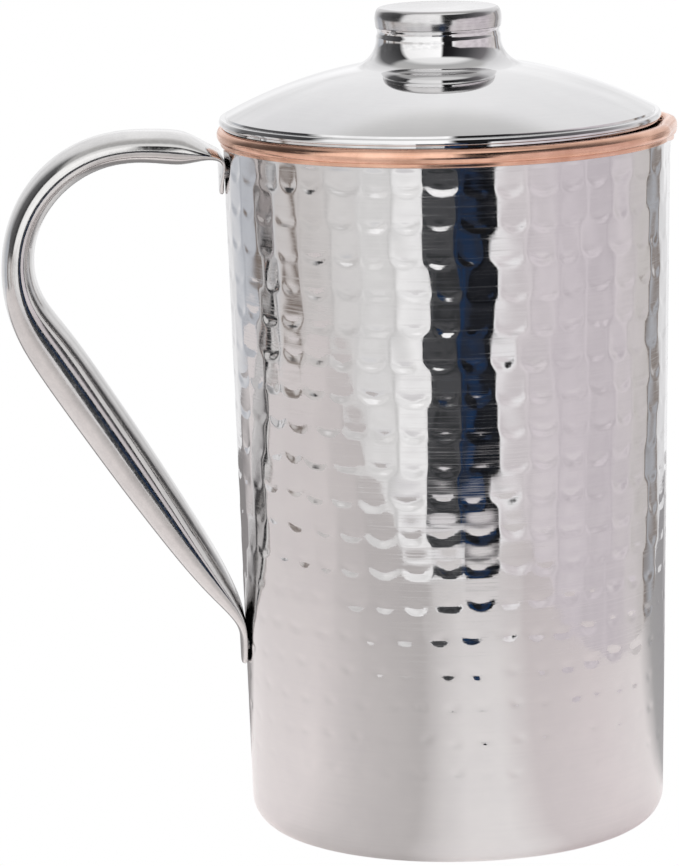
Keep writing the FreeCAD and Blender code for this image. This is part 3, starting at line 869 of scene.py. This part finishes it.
@dataclass
class LidAndKnob:
    """The domed lid with its folded brim, the ring under it and the cap over its neck."""

    wall: float = 0.6 * MM
    brim_height: float = 1.6 * MM
    brim_width: float = 1.6 * MM
    crease_step: float = 0.5 * MM
    crown: float = 13.2 * MM
    folded: float = 4.0 * MM
    neck: float = 15.3 * MM
    fillet: float = 7.0 * MM
    groove_depth: float = 0.3 * MM
    groove_width: float = 2.4 * MM
    cap_radius: float = 15.7 * MM
    cap_wall: float = 0.6 * MM
    spigot_inset: float = 0.8 * MM
    steps: int = 256
    cap_steps: int = 160

    def __post_init__(self) -> None:
        """Read the lid's place from the frame."""
        low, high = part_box("lid_dome")
        self.axis_x = 0.5 * (low.x + high.x)
        self.radius = 0.5 * (high.x - low.x)
        self.bottom = low.z
        self.spigot_top = high.z
        cap_low, cap_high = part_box("knob_cap")
        self.cap_bottom = cap_low.z
        self.cap_top = cap_high.z

    def dome_section(self) -> list[Point]:
        """Closed half section of the dome, from the neck out to the brim and back inside."""
        brim_top = self.bottom + self.brim_height
        crease = self.radius - self.brim_width
        ball = (crease ** 2 + self.crown ** 2) / (2.0 * self.crown)
        ball_z = brim_top + self.crease_step + self.crown - ball
        fillet_r = self.neck + self.fillet
        fillet_z = ball_z + math.sqrt((ball + self.fillet) ** 2 - fillet_r ** 2)
        lean = math.degrees(math.atan2(fillet_z - ball_z, fillet_r))
        foot = math.degrees(math.acos(crease / ball))
        groove_bottom = self.cap_bottom - self.groove_width
        spigot = self.cap_radius - self.spigot_inset
        points = rounded([
            (spigot - self.wall, self.spigot_top, 0.0),
            (spigot, self.spigot_top, 0.2 * MM),
            (spigot, self.cap_bottom, 0.0),
        ])
        for step in range(13):
            share = step / 12
            points.append((
                self.neck - self.groove_depth * math.sin(math.pi * share) ** 1.5,
                self.cap_bottom - 0.03 * MM + share * (groove_bottom - self.cap_bottom),
            ))
        points.append((self.neck, fillet_z))
        points += arc((fillet_r, fillet_z), self.fillet, 180.0, 180.0 + lean, 18)[1:]
        points += arc((0.0, ball_z), ball, lean, foot, 44)[1:]
        crease_z = ball_z + ball * math.sin(math.radians(foot))
        points += rounded([
            (crease, crease_z, 0.0),
            (crease + 0.12 * MM, brim_top - 0.1 * MM, 0.12 * MM),
            (self.radius - 0.35 * MM, brim_top - 0.02 * MM, 0.5 * MM),
            (self.radius, brim_top - 0.9 * MM, 0.5 * MM),
            (self.radius, self.bottom, 0.3 * MM),
            (self.radius - self.folded, self.bottom, 0.2 * MM),
            (self.radius - self.folded, self.bottom + self.wall, 0.2 * MM),
            (crease - self.wall, self.bottom + self.wall, 0.2 * MM),
            (crease - self.wall, ball_z + (ball - self.wall) * math.sin(math.radians(foot + 0.6)), 0.0),
        ])[1:]
        points += arc((0.0, ball_z), ball - self.wall, foot + 1.2, lean, 24)
        points += arc((fillet_r, fillet_z), self.fillet + self.wall, 180.0 + lean, 180.0, 8)
        points += [(self.neck - self.wall, groove_bottom), (spigot - self.wall, self.cap_bottom)]
        return points

    def cap_section(self) -> list[Point]:
        """Closed half section of the knob's cap."""
        belly = self.cap_radius
        inner = belly - self.cap_wall
        top = self.cap_top
        height = top - self.cap_bottom
        outer = rounded([
            (0.0, top, 0.0),
            (belly - 0.9 * MM, top - 0.02 * MM, 1.5 * MM),
            (belly, top - 0.42 * height, 5.0 * MM),
            (belly - 0.30 * MM, self.cap_bottom + 0.03 * MM, 0.12 * MM),
            (inner, self.cap_bottom, 0.0),
        ], 9)
        return outer + [
            (inner, top - 1.9 * MM),
            (inner - 1.1 * MM, top - 0.75 * MM),
            (0.0, top - 0.7 * MM),
        ]

    def build(self) -> None:
        """Spin the dome and the cap, and dress the ring under the lid."""
        lid_steel = LID_STEEL.make()
        dome = spin_section(self.dome_section(), self.steps, self.axis_x)
        make_piece(dome, "lid_dome_sheet", LID, lid_steel, ("lid_dome",))
        cap = spin_section(self.cap_section(), self.cap_steps, self.axis_x)
        make_piece(cap, "knob_cap_sheet", LID, KNOB_STEEL.make(), ("knob_cap",))
        dress_node("lid_collar", lid_steel)


# ---------------------------------------------------------------- studio

WHITE: Colour = (1.05, 1.05, 1.06)
PALE: Colour = (0.84, 0.84, 0.85)
BLUISH: Colour = (0.58, 0.60, 0.64)
LILAC: Colour = (0.78, 0.72, 0.76)
ROSY: Colour = (0.84, 0.79, 0.81)
WARM: Colour = (0.74, 0.705, 0.69)
TAUPE: Colour = (0.24, 0.20, 0.175)
BLACK: Colour = (0.012, 0.012, 0.013)
CHARCOAL: Colour = (0.05, 0.052, 0.056)


@dataclass(frozen=True)
class Camera:
    """A long lens a little above the jug, turned slightly towards its handle side."""

    azimuth: float = 265.0
    distance: float = 1.156
    height: float = 0.315
    pan: float = -1.38
    tilt: float = 10.63
    roll: float = -1.28
    lens: float = 196.6
    sensor: float = 36.0

    def build(self) -> None:
        """Place the camera and make it the scene's."""
        data = bpy.data.cameras.new("camera")
        data.lens = self.lens
        data.sensor_width = self.sensor
        data.clip_start = 0.05
        data.clip_end = 20.0
        camera = bpy.data.objects.new("camera", data)
        bpy.context.scene.collection.objects.link(camera)
        stand = math.radians(self.azimuth)
        camera.location = (self.distance * math.cos(stand), self.distance * math.sin(stand), self.height)
        aim = math.radians(self.azimuth - 180.0 - self.pan)
        down = math.radians(self.tilt)
        forward = Vector((
            math.cos(aim) * math.cos(down), math.sin(aim) * math.cos(down), -math.sin(down)
        ))
        right = Vector((math.sin(aim), -math.cos(aim), 0.0))
        upward = right.cross(forward)
        roll = math.radians(self.roll)
        leaned_right = math.cos(roll) * right + math.sin(roll) * upward
        leaned_up = -math.sin(roll) * right + math.cos(roll) * upward
        rotation = camera.matrix_world.to_3x3()
        rotation.col[0] = leaned_right
        rotation.col[1] = leaned_up
        rotation.col[2] = -forward
        camera.rotation_euler = rotation.to_euler()
        bpy.context.scene.camera = camera


@dataclass(frozen=True)
class Card:
    """A dark card that stands in front of the jug, seen only in its polished metal."""

    name: str
    left: float
    right: float
    height: float
    colour: Colour
    fringe: Colour


@dataclass(frozen=True)
class Studio:
    """White sweep, a soft light above the front and dark things that the steel mirrors.

    Facing is the camera's azimuth. The edges are heights in degrees above the jug's level.
    """

    facing: float = 265.0
    floor_front: float = 0.315
    floor_back: float = 0.45
    floor_left: float = 0.60
    floor_right: float = 0.22
    floor_corner: float = 0.08
    card_distance: float = 0.43
    card_foot: float = -0.02
    deep_edge: tuple[float, float] = (-17.0, -14.5)
    ceiling_edge: tuple[float, float] = (46.0, 56.0)
    cards: tuple[Card, ...] = (
        Card("charcoal_card", -0.090, 0.014, 0.128, (0.040, 0.042, 0.045), (0.085, 0.087, 0.092)),
        Card("navy_card", 0.014, 0.100, 0.152, (0.013, 0.040, 0.105), (0.024, 0.032, 0.052)),
        Card("black_card", 0.100, 0.165, 0.160, (0.007, 0.008, 0.010), (0.016, 0.018, 0.022)),
    )

    def turn(self, x: float, y: float, z: float) -> Vector:
        """A point given as right of, behind and above the jug, as the camera sees it."""
        angle = math.radians(self.facing - 270.0)
        return Vector((
            x * math.cos(angle) - y * math.sin(angle), x * math.sin(angle) + y * math.cos(angle), z
        ))

    def stand(self, bm: bmesh.types.BMesh, name: str, material: bpy.types.Material) -> bpy.types.Object:
        """Turn a bmesh into a piece of the studio."""
        mesh = bpy.data.meshes.new(name)
        bm.to_mesh(mesh)
        bm.free()
        mesh.materials.append(material)
        piece = bpy.data.objects.new(name, mesh)
        bpy.context.scene.collection.objects.link(piece)
        return piece

    def build_floor(self) -> None:
        """A rounded board under the jug, plain white to the camera. Other rays see painted light and shade
        on it: a colour by bearing with lighter and darker sectors, and a painted glow that is strongest
        near the jug.
        """
        bm = bmesh.new()
        bm.faces.new([
            bm.verts.new(self.turn(x, y, 0.0))
            for x, y in (
                (-self.floor_left, -self.floor_front), (self.floor_right, -self.floor_front),
                (self.floor_right, self.floor_back), (-self.floor_left, self.floor_back),
            )
        ])
        bmesh.ops.bevel(
            bm, geom=bm.verts[:], offset=self.floor_corner, segments=8, profile=0.5,
            affect="VERTICES", material=-1,
        )
        material = bpy.data.materials.new("floor_white_painted_light")
        material.use_nodes = True
        board = Board(material.node_tree)
        place = board.add("TexCoord").outputs["Object"]
        share = board.bearing(place, self.facing)[2]
        # Painted light and shade: the floor's colour changes with bearing, in lighter and darker sectors
        # that the steel mirrors.
        painted_light_and_shade = board.round_ramp(share.outputs[0], [
            (-180.0, (0.80, 0.79, 0.79)), (-162.0, (0.30, 0.29, 0.29)),
            (-142.0, (0.38, 0.36, 0.36)), (-132.0, (1.0, 0.95, 0.94)),
            (-72.0, (0.97, 0.91, 0.90)), (-45.0, (0.78, 0.74, 0.73)),
            (-16.0, (0.68, 0.65, 0.64)), (-6.0, (0.90, 0.87, 0.86)),
            (4.0, (1.02, 0.99, 0.98)), (20.0, (1.02, 0.99, 0.98)),
            (36.0, (0.84, 0.78, 0.78)),
            (70.0, (0.90, 0.83, 0.83)), (108.0, (1.0, 0.95, 0.94)),
            (124.0, (0.52, 0.51, 0.51)), (150.0, (0.42, 0.41, 0.42)),
            (166.0, (0.95, 0.94, 0.94)), (180.0, (0.80, 0.79, 0.79)),
        ])
        # Painted pool of light: the floor glows, twice as strongly next to the jug as further out.
        away = board.add("VectorMath", {0: place}, operation="LENGTH").outputs["Value"]
        painted_glow_strength = board.add("MapRange", {"Value": away, 1: 0.06, 2: 0.32, 3: 0.40, 4: 0.20}).outputs[0]
        lit = board.add("BsdfDiffuse", {"Color": painted_light_and_shade})
        glow = board.add("Emission", {"Color": painted_light_and_shade, "Strength": painted_glow_strength})
        both = board.add("AddShader", {0: lit.outputs[0], 1: glow.outputs[0]})
        plain = board.add("Emission", {"Color": (1.0, 1.0, 1.0, 1.0), "Strength": 1.0})
        seen = board.add("LightPath").outputs["Is Camera Ray"]
        shown = board.add("MixShader", {0: seen, 1: both.outputs[0], 2: plain.outputs[0]})
        board.add("OutputMaterial", {"Surface": shown.outputs[0]})
        self.stand(bm, "floor", material)

    def build_cards(self) -> None:
        """Dark cards that only mirror-like rays see."""
        for card in self.cards:
            bm = bmesh.new()
            bm.faces.new([
                bm.verts.new(self.turn(x, -self.card_distance, z))
                for x, z in (
                    (card.left, self.card_foot), (card.right, self.card_foot),
                    (card.right, card.height), (card.left, card.height),
                )
            ])
            material = bpy.data.materials.new(card.name)
            material.use_nodes = True
            board = Board(material.node_tree)
            place = board.add("TexCoord").outputs["Object"]
            cloud = board.add("TexNoise", {"Vector": place, "Scale": 28.0, "Detail": 3.0}).outputs[0]
            shade = board.ramp(cloud, [(0.45, card.fringe), (0.60, card.colour)])
            glow = board.add("Emission", {"Color": shade, "Strength": 1.0})
            board.add("OutputMaterial", {"Surface": glow.outputs[0]})
            piece = self.stand(bm, card.name, material)
            piece.visible_camera = False
            piece.visible_diffuse = False
            piece.visible_shadow = False

    def level_ramp(self, board: Board, share: bpy.types.NodeSocket) -> bpy.types.NodeSocket:
        """What stands round the jug at its own level, by bearing."""
        return board.round_ramp(share, [
            (-180.0, WHITE), (-150.0, PALE), (-140.0, BLUISH), (-123.0, BLUISH),
            (-120.0, TAUPE), (-113.0, TAUPE),
            (-112.0, PALE), (-106.0, PALE), (-105.0, BLACK), (-103.0, PALE),
            (-93.0, WARM), (-90.0, TAUPE), (-86.0, WARM), (-50.0, (0.84, 0.83, 0.825)),
            (-38.0, (0.97, 0.965, 0.96)), (-30.0, (0.84, 0.835, 0.83)),
            (-20.0, (1.08, 1.08, 1.08)), (9.0, WHITE), (10.0, BLACK), (25.0, BLACK),
            (26.0, WHITE), (34.0, ROSY), (60.0, LILAC), (95.0, LILAC),
            (125.0, WARM), (128.0, TAUPE), (134.0, BLUISH), (139.0, TAUPE),
            (143.0, PALE), (180.0, WHITE),
        ])

    def deep_ramp(self, board: Board, share: bpy.types.NodeSocket) -> bpy.types.NodeSocket:
        """What lies past the edge of the floor, by bearing."""
        return board.round_ramp(share, [
            (-180.0, CHARCOAL), (-171.0, CHARCOAL), (-168.0, WHITE), (-110.0, BLUISH),
            (-40.0, PALE), (40.0, ROSY), (110.0, LILAC), (160.0, WHITE),
            (164.0, WARM), (171.0, CHARCOAL), (180.0, CHARCOAL),
        ])

    def room_ramp(self, board: Board, share: bpy.types.NodeSocket) -> bpy.types.NodeSocket:
        """The upper walls with the soft light at the front left, by bearing."""
        return board.round_ramp(share, [
            (-180.0, WHITE), (-148.0, PALE), (-128.0, (0.16, 0.16, 0.165)),
            (-76.0, (0.05, 0.05, 0.052)), (-66.0, (1.15, 1.15, 1.15)),
            (4.0, (1.35, 1.35, 1.35)),
            (9.0, BLACK), (27.0, (0.02, 0.02, 0.022)), (58.0, (0.07, 0.07, 0.075)),
            (98.0, (0.22, 0.21, 0.22)), (132.0, PALE), (180.0, WHITE),
        ])

    def ceiling_ramp(self, board: Board, forward: bpy.types.NodeSocket) -> bpy.types.NodeSocket:
        """The ceiling from the back of the room (0) over the jug (0.5) to the front (1)."""
        share = board.add("MapRange", {"Value": forward, 1: -1.0, 2: 1.0}).outputs[0]
        return board.ramp(share, [
            (0.0, (1.06, 1.06, 1.06)), (0.12, (1.0, 1.0, 1.0)), (0.31, (0.57, 0.565, 0.56)),
            (0.50, (0.54, 0.54, 0.54)), (0.62, (1.0, 1.0, 1.0)), (1.0, (1.2, 1.2, 1.2)),
        ])

    def skyline(self, board: Board, share: bpy.types.NodeSocket) -> bpy.types.NodeSocket:
        """Height in degrees at which the upper walls begin, by bearing."""
        span, lowest = 90.0, -10.0
        heights = (
            (-180.0, 8.0), (-126.0, 1.7), (-118.0, -2.35), (-76.0, -2.35), (-68.0, -0.1),
            (8.0, -0.1), (27.0, 8.9), (40.0, 14.3), (120.0, 12.5), (180.0, 8.0),
        )
        edge = board.round_ramp(share, [
            (angle, ((height - lowest) / span,) * 3) for angle, height in heights
        ])
        return board.sum("ADD", board.sum("MULTIPLY", edge, span), lowest)

    def build_light(self) -> None:
        """Surroundings by compass bearing and height, white where the camera sees them bare."""
        world = bpy.data.worlds.new("studio")
        bpy.context.scene.world = world
        world.use_nodes = True
        board = Board(world.node_tree)
        way = board.add("TexCoord").outputs["Generated"]
        turned, parts, compass = board.bearing(way, self.facing)
        share = compass.outputs[0]
        height = board.sum("MULTIPLY", board.sum("ARCSINE", parts.outputs[2]), 180.0 / math.pi)

        low, high = self.deep_edge
        lower = board.blend(
            board.rise(height, low, high), self.deep_ramp(board, share), self.level_ramp(board, share)
        )
        edge = self.skyline(board, share)
        low, high = board.sum("SUBTRACT", edge, 2.0), board.sum("ADD", edge, 3.0)
        walls = board.blend(board.rise(height, low, high), lower, self.room_ramp(board, share))
        low, high = self.ceiling_edge
        around = board.blend(
            board.rise(height, low, high), walls, self.ceiling_ramp(board, parts.outputs[0])
        )

        cloud = board.add("TexNoise", {"Vector": turned.outputs[0], "Scale": 5.5, "Detail": 2.0}).outputs[0]
        dapple = board.add("MapRange", {"Value": cloud, 1: 0.30, 2: 0.70, 3: 0.86, 4: 1.12}).outputs[0]
        calm = board.add(
            "Mix", {0: board.rise(height, 12.0, 30.0), 2: dapple, 3: 1.0}, data_type="FLOAT"
        ).outputs[0]
        surroundings = board.add("Background", {"Color": around, "Strength": calm})
        backdrop = board.add("Background", {"Color": (1.0, 1.0, 1.0, 1.0), "Strength": 1.0})
        seen = board.add("LightPath").outputs["Is Camera Ray"]
        both = board.add("MixShader", {0: seen, 1: surroundings.outputs[0], 2: backdrop.outputs[0]})
        board.add("OutputWorld", {"Surface": both.outputs[0]})
        bpy.context.scene.view_settings.view_transform = "Standard"


# ---------------------------------------------------------------- assembly


def main() -> None:
    """Build every piece, then the studio."""
    logging.basicConfig(level=logging.INFO, format="%(message)s")
    cup = HammeredCup()
    cup.build()
    CopperLining(cup).build()
    Handle(cup).build()
    LidAndKnob().build()
    weld_steel = WELD_STEEL.make()
    for node in ("handle_upper_welds", "handle_lower_welds", "lid_collar_welds"):
        dress_node(node, weld_steel)
    studio = Studio()
    studio.build_floor()
    studio.build_cards()
    studio.build_light()
    Camera().build()


if __name__ == "__main__":
    main()
